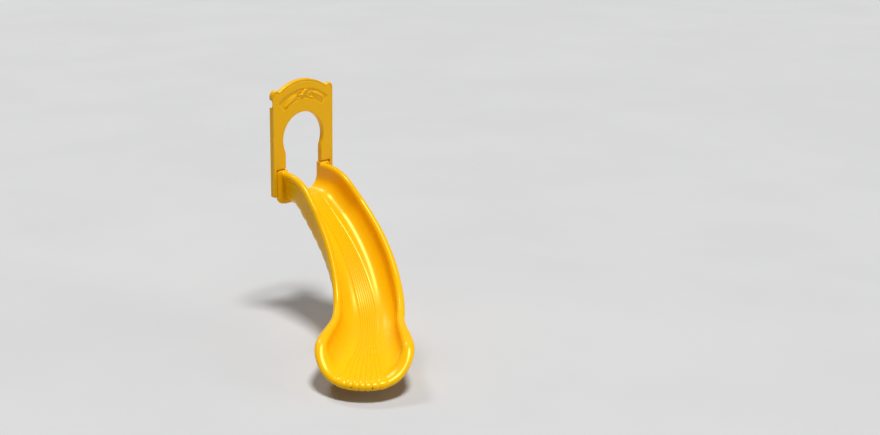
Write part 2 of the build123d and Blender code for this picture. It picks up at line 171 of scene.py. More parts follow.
def mirrored(points):
    """The same points on the other side, in the other order."""
    return [(-x, z) for x, z in points[::-1]]


def inset_outline(outline, inset):
    """Closed outline moved inwards by one distance, or by one for each point."""
    pts = np.asarray(outline)
    before, after = pts - np.roll(pts, 1, 0), np.roll(pts, -1, 0) - pts
    n1, n2 = [np.stack([way[:, 1], -way[:, 0]], -1) / np.linalg.norm(way, axis=1)[:, None]
              for way in (before, after)]
    bisector = n1 + n2
    bisector /= np.maximum(np.sum(bisector * n1, 1), 0.35)[:, None]
    area = np.sum(pts[:, 0] * np.roll(pts[:, 1], -1) - np.roll(pts[:, 0], -1) * pts[:, 1])
    return pts - np.sign(area) * bisector * np.broadcast_to(inset, len(pts))[:, None]


# ---------------------------------------------------------------- mesh helpers
def new_object(name, bm, angle=38):
    mesh = bpy.data.meshes.new(name)
    bmesh.ops.recalc_face_normals(bm, faces=bm.faces)
    bm.to_mesh(mesh)
    bm.free()
    for polygon in mesh.polygons:
        polygon.use_smooth = True
    mesh.set_sharp_from_angle(angle=radians(angle))
    piece = bpy.data.objects.new(name, mesh)
    bpy.context.scene.collection.objects.link(piece)
    return piece


def add_grid(bm, rows, close=False):
    """Quads between rows of points; close joins each row's ends. Returns the vertices."""
    verts = [[bm.verts.new(p) for p in row] for row in rows]
    for a, b in zip(verts[:-1], verts[1:]):
        for i in range(len(a) - 1):
            bm.faces.new((a[i], a[i + 1], b[i + 1], b[i]))
        if close:
            bm.faces.new((a[-1], a[0], b[0], b[-1]))
    return verts


def add_bridge(bm, first, last):
    """Grid that goes straight from one row of points to another."""
    blend = np.linspace(0, 1, 14)[:, None, None]
    add_grid(bm, first[None] * (1 - blend) + last[None] * blend)


def weld(bm, verts):
    """Joins points that lie on each other, so that no empty face is left between them."""
    bmesh.ops.remove_doubles(bm, verts=verts, dist=1e-6)


def ring_edges(bm, ring):
    return [bm.edges.get(ends) for ends in zip(ring, ring[1:] + ring[:1])]


def join_into(bm, other):
    mesh = bpy.data.meshes.new("part")
    other.to_mesh(mesh)
    other.free()
    bm.from_mesh(mesh)
    bpy.data.meshes.remove(mesh)


# ---------------------------------------------------------------- route and sides of the chute
def slope(s):
    falling = ease((s - RAMP[0]) / (RAMP[1] - RAMP[0]))
    levelling = ease((s - EASING[0]) / (EASING[1] - EASING[0]))
    return np.radians(SLOPE_MAX * falling * (1 - levelling) + SLOPE_EXIT * levelling)


ROUTE_S = np.linspace(0.0, TIP + 0.2, 1700)
ROUTE_FALL = np.tan(slope(ROUTE_S))
ROUTE_DROP = np.concatenate([[0.0], np.cumsum((ROUTE_FALL[1:] + ROUTE_FALL[:-1]) / 2
                                              * np.diff(ROUTE_S))])


def place(s, u, v):
    """Point of the chute in the frame."""
    s, u, v = np.broadcast_arrays(np.asarray(s, float), u, v)
    turn = np.clip((s - STRAIGHT_RUN) / BEND_RADIUS, 0, radians(BEND_ANGLE))
    after = np.maximum(s - STRAIGHT_RUN - BEND_RADIUS * radians(BEND_ANGLE), 0)
    x = -BEND_RADIUS * (1 - np.cos(turn)) - after * np.sin(turn)
    y = -np.minimum(s, STRAIGHT_RUN) - BEND_RADIUS * np.sin(turn) - after * np.cos(turn)
    z = BED_LEVEL - np.interp(s, ROUTE_S, ROUTE_DROP)
    fall = slope(s)
    x = x + u * np.cos(turn) - v * np.sin(turn) * np.sin(fall)
    y = y - u * np.sin(turn) - v * np.cos(turn) * np.sin(fall)
    return np.stack([x, y, z + v * np.cos(fall)], -1)


def flared(s):
    """0 before the flare and 1 after it."""
    return ease((s - FLARE[0]) / (FLARE[1] - FLARE[0]))


def fanned(s):
    """0 where the grooved strip is narrow and 1 at the tip, where it is widest."""
    return ease((s - STRIP_FAN) / (TIP - STRIP_FAN))


def rim_half(s):
    """Distance from the bed's middle to the middle of the rim."""
    opening = ease((s - RUN_START) / RIM_WIDENING)
    return (RIM_HALF[0] + (RIM_HALF[1] - RIM_HALF[0]) * opening
            + (RIM_HALF[2] - RIM_HALF[1]) * flared(s))


def rim_height(s):
    """Height of the middle of the rim above the bed, which it sinks below at the tip."""
    sinking = ease((s - RUN_START) / RIM_EASING)
    lifting = ease((s - EASING[0]) / (FLARE[1] - EASING[0]))
    closing = ease((s - FLARE[1] + 0.1) / (LIP_DEPTH + 0.1))
    level = RIM_HEIGHT[0] + (RIM_HEIGHT[1] - RIM_HEIGHT[0]) * sinking
    level = level + (RIM_HEIGHT[2] - RIM_HEIGHT[1]) * lifting
    return level + (-RIM_R - RIM_HEIGHT[2]) * closing


def strip_half(s):
    return STRIP_HALF[0] + (STRIP_HALF[1] - STRIP_HALF[0]) * fanned(s)


INNER_COUNT, OUTER_COUNT = 26, 44
FLAT_MARGIN = 0.004             # flat of the bed that belongs to the side
# under the roll of the lip: how far in, and the share of the way down to the under edge
LIP_FLANK = ((-0.008, 0.0), (-0.018, 0.0), (-0.030, 0.03), (-0.044, 0.09), (-0.060, 0.18),
             (-0.078, 0.30), (-0.096, 0.44), (-0.114, 0.59), (-0.132, 0.74), (-0.150, 0.88),
             (-0.170, 1.0))


def run_flank(level):
    """Outside of the side under the roll in the run: the bead, the flank and the under edge."""
    top = level - 0.048
    return [(0.0175, top), (0.0205, top - 0.010), (0.0215, top - 0.020), (0.016, top - 0.031),
            (0.006, top - 0.042), (0.003, top - 0.060), (0.002, 0.45 * level), (-0.006, 0.012),
            (-0.026, -0.030), (-0.060, -0.055), (-0.100, -BED_DEPTH)]


def side_profile(s):
    """Section of a side, outwards from the rim's middle and up from the bed.

    Returns the inner line, from the bed over the fillet and the wall to the top of the roll, and
    the outer line, from there down to the under edge.
    """
    level, wide = float(rim_height(s)), float(flared(s))
    front = wide * float(ease((RIM_HEIGHT[2] - level) / (RIM_HEIGHT[2] + RIM_R)))
    reach = RIM_R * (1 + FLARE_REACH * wide + LIP_REACH * front)
    high = RIM_R * (1 + LIP_RISE * front)
    middle, level = RIM_R - reach, level + RIM_R - high
    lean = pi / 2
    if level < FLOOR_FILLET:
        lean = np.arccos(min(1, (FLOOR_FILLET - level) / (FLOOR_FILLET + high)))
    foot = middle - (reach + FLOOR_FILLET) * sin(lean)

    def roll(start, end, count):
        return [(middle + reach * sin(a), level + high * cos(a))
                for a in np.linspace(start, end, count)]

    inner = [(foot - FLAT_MARGIN, 0.0)]
    inner += [(foot + FLOOR_FILLET * sin(a), FLOOR_FILLET * (1 - cos(a)))
              for a in np.linspace(0, lean, 24)]
    inner += roll(-lean, 0, 20)
    over = roll(0, radians(ROLL_TURN[0] + ROLL_TURN[1] * front), 24)
    low = level - high
    lip_flank = [(middle + n, low + (-BED_DEPTH - low) * share) for n, share in LIP_FLANK]
    flank = [tuple(np.array(a) * (1 - front) + np.array(b) * front)
             for a, b in zip(run_flank(level), lip_flank)]
    outer = np.vstack([over, smooth_line([over[-1]] + flank)[1:]])
    return resample(inner, INNER_COUNT), resample(outer, OUTER_COUNT)


def rim_line():
    """Right rim from the throat to the tip: distances along it, and for each its place, its
    outward normal in plan, and the foot of its side on the bed."""
    run_s = np.linspace(RUN_START, FLARE[1], 126)[:-1]
    swing = np.linspace(0, pi / 2, 400)
    lip_s = FLARE[1] + LIP_DEPTH * np.sin(swing) ** (2 / LIP_POWER)
    lip_u = RIM_HALF[2] * np.cos(swing) ** (2 / LIP_POWER)
    dense = np.stack([np.concatenate([run_s, lip_s]), np.concatenate([rim_half(run_s), lip_u])], -1)
    count = 900
    s, u = resample(dense, count).T
    tangent_s, tangent_u = np.gradient(s), np.gradient(u)
    size = np.hypot(tangent_s, tangent_u)
    normal_s, normal_u = -tangent_u / size, tangent_s / size
    normal_s[0], normal_u[0] = 0.0, 1.0
    normal_s[-1], normal_u[-1] = 1.0, 0.0
    foot = np.array([-side_profile(at)[0][0][0] for at in s])
    along = np.linspace(0, lengths_along(dense)[-1], count)
    return along, (s, u, normal_s, normal_u, s - normal_s * foot, u - normal_u * foot)


RIM_ALONG, RIM_LINE = rim_line()


def on_rim(along):
    return [np.interp(along, RIM_ALONG, values) for values in RIM_LINE]


# ---------------------------------------------------------------- skin of the chute
def rib_columns():
    """Places across the grooved strip, from 1 to -1, closer together at the grooves."""
    across = [(rib + step) / RIBS for rib in range(RIBS) for step in RIB_STEPS] + [1.0]
    return (2 * np.array(across) - 1)[::-1]


COLUMNS = rib_columns()
FLATS = np.array([0, 0.03, 0.08, 0.3, 0.65, 1.0])       # from the strip out to the side's foot
SIDE_STOPS = 178


def rib_relief(q, s):
    """Height of the ribs and grooves at q across the strip, from 1 to -1."""
    phase = ((np.asarray(q) + 1) / 2 * RIBS) % 1.0
    near = np.minimum(phase, 1 - phase)
    crown = 4 * phase * (1 - phase)
    begun = ease((s - STRIP_START) / 0.05)
    groove = GROOVE_DEPTH * (1 - ease(near / GROOVE_SHARE))
    groove = groove * (1 + EDGE_GROOVES * (np.abs(q) > 0.93))
    return begun * (-groove + (RIB_CROWN[0] + RIB_CROWN[1] * fanned(s)) * crown)


def cross_ribs(s):
    """How far the rounded cross ribs under the bed reach down."""
    inside = ease((s - CROSS_RIBS[0]) / 0.06) * (1 - ease((s - CROSS_RIBS[1]) / 0.1))
    return CROSS_DEPTH * inside * np.abs(np.sin(pi * (s - CROSS_RIBS[0]) / CROSS_PITCH)) ** 0.7


def rim_stops():
    """Distances along the rim: even along the side, then one for each column round the lip."""
    s, foot_s, foot_u = RIM_LINE[0], RIM_LINE[4], RIM_LINE[5]
    meet = np.argmax((foot_u < strip_half(foot_s)) & (s > FLARE[1]))
    lip = np.interp(-foot_u[meet] * np.abs(COLUMNS), -foot_u[meet:], RIM_ALONG[meet:])
    return np.linspace(0, RIM_ALONG[meet], SIDE_STOPS), lip


def side_section(along, q, at_lip):
    """Inner and outer points of one section of a side. The ribs of the bed run on over the roll
    of the lip, and the under edge follows the cross ribs beside the bed."""
    s, u, normal_s, normal_u = on_rim(along)[:4]
    u, normal_u = np.sign(q) * u, np.sign(q) * normal_u
    size = np.hypot(normal_s, normal_u)
    normal_s, normal_u = normal_s / size, normal_u / size
    inner, outer = side_profile(s)
    lift = rib_relief(q, s) if at_lip else 0.0
    fading = lift * np.linspace(1, 0, OUTER_COUNT) ** 0.6
    low = ease((0.02 - outer[:, 1]) / 0.06) * (0 if at_lip else 1)
    drop = low * cross_ribs(s) * (1 - ease((s - 2.6) / 0.2))
    angle = np.clip(np.arctan2(outer[:, 0], outer[:, 1] - rim_height(s)), 0, pi)
    out = outer[:, 0] + fading * np.sin(angle)
    up = outer[:, 1] + (fading * np.cos(angle) - drop)
    return (place(s + inner[:, 0] * normal_s, u + inner[:, 0] * normal_u, inner[:, 1] + lift),
            place(s + out * normal_s, u + out * normal_u, up))


def bed_row(along, last):
    """Row across the bed between the feet of the sides; the last one is all grooved strip."""
    s, reach = on_rim(along)[4:]
    edge = reach if last else min(strip_half(s), reach - 0.002)
    flat_u = edge + (reach - edge) * FLATS
    flat_v = rib_relief(1.0, s) * (1 - ease(FLATS * (reach - edge) / 0.009))
    across = np.concatenate([flat_u[:0:-1], edge * COLUMNS, -flat_u[1:]])
    raised = np.concatenate([flat_v[:0:-1], rib_relief(COLUMNS, s), flat_v[1:]])
    return place(s, across, raised)


def build_chute():
    """Sides, bed and underside of the chute in one closed skin."""
    bm = bmesh.new()
    side, lip = rim_stops()
    stops = [(along, 1.0, False) for along in side[:-1]]
    stops += [(along, q, True) for along, q in zip(lip, COLUMNS)]
    stops += [(along, -1.0, False) for along in side[:-1][::-1]]
    sections = [side_section(*stop) for stop in stops]
    at_lip = sections[SIDE_STOPS - 1:SIDE_STOPS - 1 + len(COLUMNS)]
    add_grid(bm, [np.vstack([inner, outer[1:]]) for inner, outer in sections])

    bed = [bed_row(along, along == side[-1]) for along in side]
    add_grid(bm, bed)
    strip = bed[-1][len(FLATS) - 1:len(FLATS) - 1 + len(COLUMNS)]
    add_bridge(bm, strip, np.array([inner[0] for inner, _ in at_lip]))

    share = ((1 - COLUMNS) / 2)[:, None]
    under = [right[-1] * (1 - share) + left[-1] * share
             for (_, right), (_, left) in zip(sections[:SIDE_STOPS], sections[::-1])]
    add_grid(bm, under)
    add_bridge(bm, under[-1], np.array([outer[-1] for _, outer in at_lip]))

    bmesh.ops.remove_doubles(bm, verts=bm.verts, dist=2e-5)
    bmesh.ops.dissolve_degenerate(bm, edges=bm.edges, dist=1e-6)
    bmesh.ops.holes_fill(bm, edges=[edge for edge in bm.edges if edge.is_boundary], sides=0)
    return bm


def slab(bm, outline, front, back, rounds=0.0):
    """Closed plate with the given outline between two places in Y, its edges rounded."""
    quarter = np.linspace(0, pi / 2, 6)
    levels = [(a, front + rounds * (1 - cos(a))) for a in quarter]
    levels += [(a, back - rounds * (1 - cos(a))) for a in quarter[::-1]]
    rows = []
    for a, y in levels:
        ring = inset_outline(outline, rounds * (1 - sin(a)))
        y = np.broadcast_to(y, len(ring))
        rows.append(np.stack([ring[:, 0], y, ring[:, 1] + BED_LEVEL], -1))
    verts = add_grid(bm, rows, close=True)
    bm.faces.new(verts[0])
    bm.faces.new(verts[-1][::-1])
    weld(bm, [vert for ring in verts for vert in ring])


def build_throat():
    """Throat between the legs of the panel and the flange that the panel is bolted to."""
    bm = bmesh.new()
    top, inner = FLANGE_ABOVE, RIM_HALF[0] - RIM_R
    wall = [(inner - FLOOR_FILLET + FLOOR_FILLET * sin(a), FLOOR_FILLET * (1 - cos(a)))
            for a in np.linspace(0, pi / 2, 16)] + [(inner, top)]
    tray = mirrored(wall) + wall

    r = THROAT_ROUND
    foot = arc(THROAT_HALF - r, r - BED_DEPTH, r, 0, -90)
    throat = tray + [(THROAT_HALF, top)] + foot
    throat += arc(r - THROAT_HALF, r - BED_DEPTH, r, -90, -180) + [(-THROAT_HALF, top)]
    slab(bm, throat, -FLANGE_BACK, 0.0)

    r, low = FLANGE_TOP_ROUND, FLANGE_FOOT_ROUND
    rim = arc(FLANGE_HALF - r, top - r, r, 90, 0)
    rim += arc(FLANGE_HALF - low, low - FLANGE_BELOW, low, 0, -90, 14)
    rim += arc(low - FLANGE_HALF, low - FLANGE_BELOW, low, -90, -180, 14)
    rim += arc(r - FLANGE_HALF, top - r, r, 180, 90)
    rounds = np.array([0.0] * len(tray) + [EDGE_ROUND] * len(rim))
    slab(bm, tray + rim, -RUN_START, -FLANGE_BACK, rounds)
    return bm


# ---------------------------------------------------------------- entrance panel
def panel_outside():
    """Right half of the panel's outer edge, from its foot up to the top of the arch."""
    rise = ARCH_TOP - VALLEY[1]
    arch_r = (VALLEY[0] ** 2 + rise ** 2) / (2 * rise)
    swing = np.degrees(asin(VALLEY[0] / arch_r))
    low, high = CLAMP_HEIGHT - CLAMP_R, CLAMP_HEIGHT + CLAMP_R
    edge = [(FLANGE_HALF + 0.017, 0.0)]
    edge += arc(PANEL_HALF - FOOT_ROUND, FOOT_ROUND, FOOT_ROUND, -90, 0, 8)
    heights = [*np.arange(0.06, low - 0.02, 0.03), low - 0.0006]
    heights += [CLAMP_HEIGHT - CLAMP_R * cos(a) for a in np.linspace(0, pi, 25)]
    heights += [high + 0.0006, *np.linspace(SHOULDER_SIDE - 0.040, SHOULDER_SIDE - 0.006, 5)]
    edge += [(PANEL_HALF, z) for z in heights]
    crest = [(PANEL_HALF, SHOULDER_SIDE), (PANEL_HALF - 0.008, SHOULDER_SIDE + 0.022),
             (PANEL_HALF - 0.024, SHOULDER_SIDE + 0.043), (SHOULDER_CREST + 0.006, SHOULDER_TOP),
             (VALLEY[0] + 0.026, SHOULDER_TOP - 0.009), (VALLEY[0] + 0.006, VALLEY[1] + 0.002)]
    edge += [tuple(p) for p in smooth_line(crest, 5)]
    return edge + arc(0, ARCH_TOP - arch_r, arch_r, 90 - swing + 1.2, 90, 26)


def keyhole():
    """Right half of the keyhole, from its crown down to where the rebate begins."""
    join = acos((NECK_HALF + NECK_BLEND) / (HEAD_R + NECK_BLEND))
    middle = HEAD_HEIGHT - (HEAD_R + NECK_BLEND) * sin(join)
    edge = arc(0, HEAD_HEIGHT, HEAD_R, 90, -np.degrees(join), 56)
    edge += arc(NECK_HALF + NECK_BLEND, middle, NECK_BLEND, 180 - np.degrees(join), 180, 10)[1:]
    return edge + [(NECK_HALF, z) for z in np.linspace(middle, REBATE_TOP, 6)[1:]]


def panel_loops():
    """Outline of the panel's back, and of its front with the rebates cut out of the legs."""
    rebate_half = FLANGE_HALF + FLANGE_CLEAR
    leg = [(NECK_HALF, z) for z in np.linspace(REBATE_TOP, 0, 13)[1:]]
    leg += [(x, 0) for x in np.linspace(NECK_HALF, rebate_half, 6)[1:]]
    step = [(x, REBATE_TOP) for x in np.linspace(NECK_HALF, rebate_half, 7)[1:]]
    step += [(rebate_half, z) for z in np.linspace(REBATE_TOP, 0, 12)[1:]]
    outer = panel_outside()
    loops = []
    for foot in (leg, step):
        inner = keyhole() + foot
        loops.append(np.array(outer + mirrored(outer[:-1]) + mirrored(inner)[:-1] + inner))
    return loops


def side_hollow(y, z):
    """Depth of the channel down each side face, which hugs the round post."""
    chord = np.sqrt(np.clip(POST_R ** 2 - (y + PANEL_THICK / 2) ** 2, 0, None))
    depth = np.clip(chord - (POST_X - PANEL_HALF), 0, None)
    return 0.9 * depth * ease((z - 0.004) / 0.012) * ease((SHOULDER_SIDE - 0.010 - z) / 0.020)


def scallop(y, z):
    """Depth pressed into the side for the post clamp, and the place front to back it moves to."""
    off = (z - CLAMP_HEIGHT) / CLAMP_R
    within = np.abs(off) <= 1.0001
    lip = -np.minimum(CLAMP_REACH * np.sqrt(np.clip(1 - off * off, 0, 1)), 0.054)
    front = -PANEL_THICK + EDGE_ROUND
    ahead = front + (y - front) / (CLAMP_SPLIT - front) * (lip - front)
    behind = lip * (1 - (y - CLAMP_SPLIT) / (0 - CLAMP_SPLIT))
    inside = y > CLAMP_SPLIT + 1e-6
    moved = np.where(inside, behind, np.where(y > front, ahead, y))
    return np.where(within & inside, CLAMP_DEPTH, 0.0), np.where(within, moved, y)


def panel_points(shape, y):
    """Panel outline points with the side hollows and scallops pressed in, in the frame."""
    x, z = shape[:, 0], shape[:, 1]
    at_side = np.abs(x) > PANEL_HALF - 0.012
    pressed, moved = scallop(y, z)
    y = np.where(at_side, moved, y)
    x = x - np.sign(x) * np.where(at_side, np.maximum(pressed, side_hollow(y, z)), 0)
    return np.stack([x, y, z + BED_LEVEL], -1)


def border_weight(pts):
    """1 along the arch and shoulders, where the face has a raised border, else 0."""
    x, z = pts[:, 0], pts[:, 1]
    top = ease((z - SHOULDER_SIDE + 0.09) / 0.07)
    return top * (np.hypot(x, z - HEAD_HEIGHT) > HEAD_R + 0.02)


# from the middle of the face out to its rounded edge: inset from the edge, and height
BORDER = ((0.0365, 0.0), (0.0335, 0.0), (0.0300, 0.0016), (0.0265, 0.0044), (0.0225, 0.0044),
          (0.0185, 0.0016), (0.0150, 0.0), (0.0115, 0.0))


def build_panel():
    """Hollow-sided panel with its rounded edges, the raised border and the frieze."""
    bm = bmesh.new()
    rear, face = panel_loops()
    border, front, r = border_weight(face), -PANEL_THICK, EDGE_ROUND
    rows = []
    for inset, lift in BORDER:
        spread = r + (inset - r) * (border + (1 - border) * 0.06)
        rows.append((inset_outline(face, spread), front + lift * border))
    quarter = np.linspace(0, pi / 2, 7)
    rows += [(inset_outline(face, r * (1 - sin(a))), front + r * (1 - cos(a))) for a in quarter]
    rows += [(face, y) for y in np.linspace(front + r, -FLANGE_BACK, 7)[1:]]
    rows += [(rear, y) for y in np.linspace(-FLANGE_BACK, -r, 9)]
    rows += [(inset_outline(rear, r * (1 - cos(a))), -r * (1 - sin(a))) for a in quarter[1:]]
    points = [panel_points(shape, np.broadcast_to(y, len(face))) for shape, y in rows]
    verts = add_grid(bm, points, close=True)
    frieze_edge = build_frieze(bm, front)
    face_edges = ring_edges(bm, verts[0]) + ring_edges(bm, frieze_edge)
    bmesh.ops.triangle_fill(bm, edges=face_edges, use_beauty=True)
    bmesh.ops.triangle_fill(bm, edges=ring_edges(bm, verts[-1]), use_beauty=True)
    weld(bm, bm.verts)
    return bm


# ---------------------------------------------------------------- frieze
# rib from start to end, width above and below it, and the height of each half
LEAVES = (
    ((-0.293, 1.098), (-0.104, 1.232), 0.052, 0.050, 0.0088, 0.0075),
    ((0.150, 1.240), (0.316, 1.158), 0.040, 0.060, 0.0088, 0.0070),
    ((-0.275, 1.078), (-0.150, 1.150), 0.016, 0.022, 0.0050, 0.0045),
    ((0.172, 1.200), (0.300, 1.108), 0.016, 0.026, 0.0050, 0.0045),
    ((-0.122, 1.160), (-0.034, 1.192), 0.017, 0.016, 0.0070, 0.0050),
    ((0.086, 1.190), (0.178, 1.162), 0.015, 0.018, 0.0070, 0.0050),
    ((-0.036, 1.188), (0.000, 1.146), 0.010, 0.012, 0.0045, 0.0045),
    ((0.084, 1.188), (0.018, 1.146), 0.010, 0.012, 0.0045, 0.0045),
    ((0.084, 1.232), (0.138, 1.258), 0.013, 0.011, 0.0070, 0.0050),
    ((-0.074, 1.290), (-0.020, 1.262), 0.012, 0.012, 0.0060, 0.0050),
)
# points of its line, its half width, its height and how deeply it is twisted
STEMS = (
    (((-0.122, 1.224), (-0.092, 1.256), (-0.064, 1.284)), 0.009, 0.0065, 0.0),
    (((-0.030, 1.262), (0.010, 1.248), (0.052, 1.224), (0.094, 1.200)), 0.015, 0.0062, 0.12),
    (((-0.052, 1.216), (-0.012, 1.232), (0.010, 1.258), (0.034, 1.280), (0.080, 1.292)),
     0.017, 0.0118, 0.10),
    (((-0.104, 1.230), (-0.070, 1.232), (-0.030, 1.236)), 0.007, 0.005, 0.0),
    (((0.060, 1.238), (0.104, 1.236), (0.152, 1.238)), 0.007, 0.005, 0.0),
)


def leaf(x, z, start, end, upper, lower, lift, low_lift):
    """Height of a roof-shaped leaf with a fine rib and faint veins."""
    length = np.hypot(end[0] - start[0], end[1] - start[1])
    ux, uz = (end[0] - start[0]) / length, (end[1] - start[1]) / length
    t = ((x - start[0]) * ux + (z - start[1]) * uz) / length
    across = -(x - start[0]) * uz + (z - start[1]) * ux
    if ux < 0:
        across = -across
    inside = (t > 0) & (t < 1)
    t = np.clip(t, 1e-4, 1 - 1e-4)
    bulge = (4 * t * (1 - t)) ** 0.6
    high = np.clip(1 - across / (upper * bulge), 0, 1) * (across >= 0)
    low = np.clip(1 + across / (lower * bulge), 0, 1) * (across < 0)
    roof = high ** 0.75 * lift + low ** 0.9 * low_lift
    veins = 0.0002 * np.cos(2 * pi * (t * length - np.abs(across) * 0.9) / 0.019)
    rib = 0.0012 * np.exp(-(across / 0.0022) ** 2)
    on = inside & ((high > 0) | (low > 0))
    return np.where(on, roof + veins * (roof > 0.001) + rib * (4 * t * (1 - t)), 0)


def stem(x, z, points, radius, lift, twist):
    """Height of a round stem that tapers at its ends."""
    line = smooth_line(points, 14)
    nearest, way = np.full(x.shape, 9.0), np.zeros(x.shape)
    for i, (px, pz) in enumerate(line):
        off = np.hypot(x - px, z - pz)
        way = np.where(off < nearest, i / len(line), way)
        nearest = np.minimum(off, nearest)
    core = np.sqrt(np.clip(1 - (nearest / radius) ** 2, 0, 1))
    taper = np.clip(8 * np.minimum(way, 1 - way), 0.35, 1)
    return lift * core * taper * (1 + twist * np.cos(2 * pi * way * 5))


def foliage(x, z):
    """Height above the frieze's floor of two broad leaves, small ones and a tied stem."""
    heights = [leaf(x, z, *sizes) for sizes in LEAVES] + [stem(x, z, *sizes) for sizes in STEMS]
    return FOLIAGE_HEIGHT * np.max(heights, axis=0)


def frieze_outline(inset, count_arc, count_side):
    """Frieze border: a ring sector with mitred ends, at an inset from its edge."""
    inner_r, outer_r = FRIEZE[0] + inset, FRIEZE[1] - inset
    half_in = FRIEZE_ANGLE - np.degrees(inset / inner_r)
    half_out = FRIEZE_ANGLE - np.degrees(inset / outer_r)
    top = arc(0, HEAD_HEIGHT, outer_r, 90 + half_out, 90 - half_out, count_arc)
    low = arc(0, HEAD_HEIGHT, inner_r, 90 - half_in, 90 + half_in, count_arc)
    right = np.linspace(top[-1], low[0], count_side + 1)[1:-1]
    left = np.linspace(low[-1], top[0], count_side + 1)[1:-1]
    return np.vstack([top, right, low, left])


# inset from the frieze's edge, and depth
FRIEZE_BEVEL = ((-0.0025, 0), (0, 0), (0.0015, 0.0008), (0.0055, 0.0052), (0.0100, FRIEZE_DEPTH),
                (0.0120, FRIEZE_DEPTH))


def build_frieze(bm, front):
    """Sunk frieze with a bevelled border and foliage on its floor. Returns its outermost ring."""
    arc_n, side_n = 260, 34
    rings = []
    for inset, depth in FRIEZE_BEVEL:
        ring = frieze_outline(inset, arc_n, side_n)
        y = np.full(len(ring), front + depth)
        rings.append(np.stack([ring[:, 0], y, ring[:, 1] + BED_LEVEL], -1))
    verts = add_grid(bm, rings, close=True)
    top = ring[:arc_n]
    low = ring[arc_n + side_n - 1:2 * arc_n + side_n - 1][::-1]
    ends = np.minimum(np.arange(arc_n), np.arange(arc_n)[::-1]) * 0.0028
    rows = []
    for t in np.linspace(0, 1, side_n + 1):
        line = top * (1 - t) + low * t
        away = min(min(t, 1 - t) * 0.126, 0.05)
        height = foliage(line[:, 0], line[:, 1]) * ease(np.minimum(away, ends) / 0.006)
        y = front + FRIEZE_DEPTH - height
        rows.append(np.stack([line[:, 0], y, line[:, 1] + BED_LEVEL], -1))
    add_grid(bm, rows)
    return verts[0]


# ---------------------------------------------------------------- shader nodes
def feed(tree, socket, value):
    """Links a socket to another one, or sets it."""
    if isinstance(value, bpy.types.NodeSocket):
        tree.links.new(value, socket)
    else:
        socket.default_value = value


def node(tree, kind, settings=None, **inputs):
    """Shader node with its settings, and its inputs set or linked by name."""
    made = tree.nodes.new(kind)
    for key, value in (settings or {}).items():
        setattr(made, key, value)
    for name, value in inputs.items():
        feed(tree, made.inputs[name.replace("_", " ")], value)
    return made


def maths(tree, operation, a, b):
    made = node(tree, "ShaderNodeMath", {"operation": operation})
    feed(tree, made.inputs[0], a)
    feed(tree, made.inputs[1], b)
    return made.outputs[0]


def ramp(tree, value, low, high):
    """0 below low, 1 above high, and smooth between."""
    made = node(tree, "ShaderNodeMapRange", {"interpolation_type": "SMOOTHSTEP"},
                Value=value, From_Min=low, From_Max=high)
    return made.outputs[0]


def mix_colour(tree, share, a, b):
    made = node(tree, "ShaderNodeMix", {"data_type": "RGBA"})
    for index, value in ((0, share), (6, a), (7, b)):
        feed(tree, made.inputs[index], value)
    return made.outputs[2]


def object_place(tree):
    return tree.nodes.new("ShaderNodeTexCoord").outputs["Object"]


def new_group(name, inputs, outputs):
    group = bpy.data.node_groups.new(name, "ShaderNodeTree")
    for label, value in inputs:
        socket = group.interface.new_socket(label, in_out="INPUT", socket_type="NodeSocketFloat")
        socket.default_value = value
    for label, kind in outputs:
        group.interface.new_socket(label, in_out="OUTPUT", socket_type=kind)
    return group, group.nodes.new("NodeGroupInput"), group.nodes.new("NodeGroupOutput")


def use_group(tree, group, **inputs):
    made = tree.nodes.new("ShaderNodeGroup")
    made.node_tree = group
    for name, value in inputs.items():
        made.inputs[name].default_value = value
    return made


def wear_group():
    """Masks that every surface shares: cloudy tone, worn edges, hollows and settled dust."""
    group, given, out = new_group("wear", [("Scale", 3.0), ("Dust", 0.4)],
                                  [(mask, "NodeSocketFloat")
                                   for mask in ("Tone", "Edge", "Hollow", "Dust")])
    where = object_place(group)
    shape = group.nodes.new("ShaderNodeNewGeometry")
    curve = shape.outputs["Pointiness"]
    cloud = node(group, "ShaderNodeTexNoise", Vector=where, Scale=given.outputs["Scale"],
                 Detail=5.0, Roughness=0.55).outputs["Fac"]
    speck = node(group, "ShaderNodeTexNoise", Vector=where, Scale=170.0, Detail=3.0,
                 Roughness=0.6).outputs["Fac"]
    group.links.new(ramp(group, cloud, 0.3, 0.7), out.inputs["Tone"])
    broken = maths(group, "MULTIPLY", ramp(group, cloud, 0.42, 0.62), ramp(group, speck, 0.4, 0.6))
    edge = maths(group, "MULTIPLY", ramp(group, curve, 0.515, 0.60), broken)
    group.links.new(edge, out.inputs["Edge"])
    # concave places, which the finishes darken: painted shade on the plastic
    hollow = maths(group, "SUBTRACT", 1.0, ramp(group, curve, 0.44, 0.50))
    group.links.new(hollow, out.inputs["Hollow"])
    up = node(group, "ShaderNodeSeparateXYZ", Vector=shape.outputs["Normal"]).outputs["Z"]
    settled = maths(group, "MULTIPLY", ramp(group, up, 0.55, 1.0), ramp(group, speck, 0.35, 0.75))
    settled = maths(group, "MULTIPLY", settled, ramp(group, cloud, 0.35, 0.65))
    group.links.new(maths(group, "MULTIPLY", settled, given.outputs["Dust"]), out.inputs["Dust"])
    return group


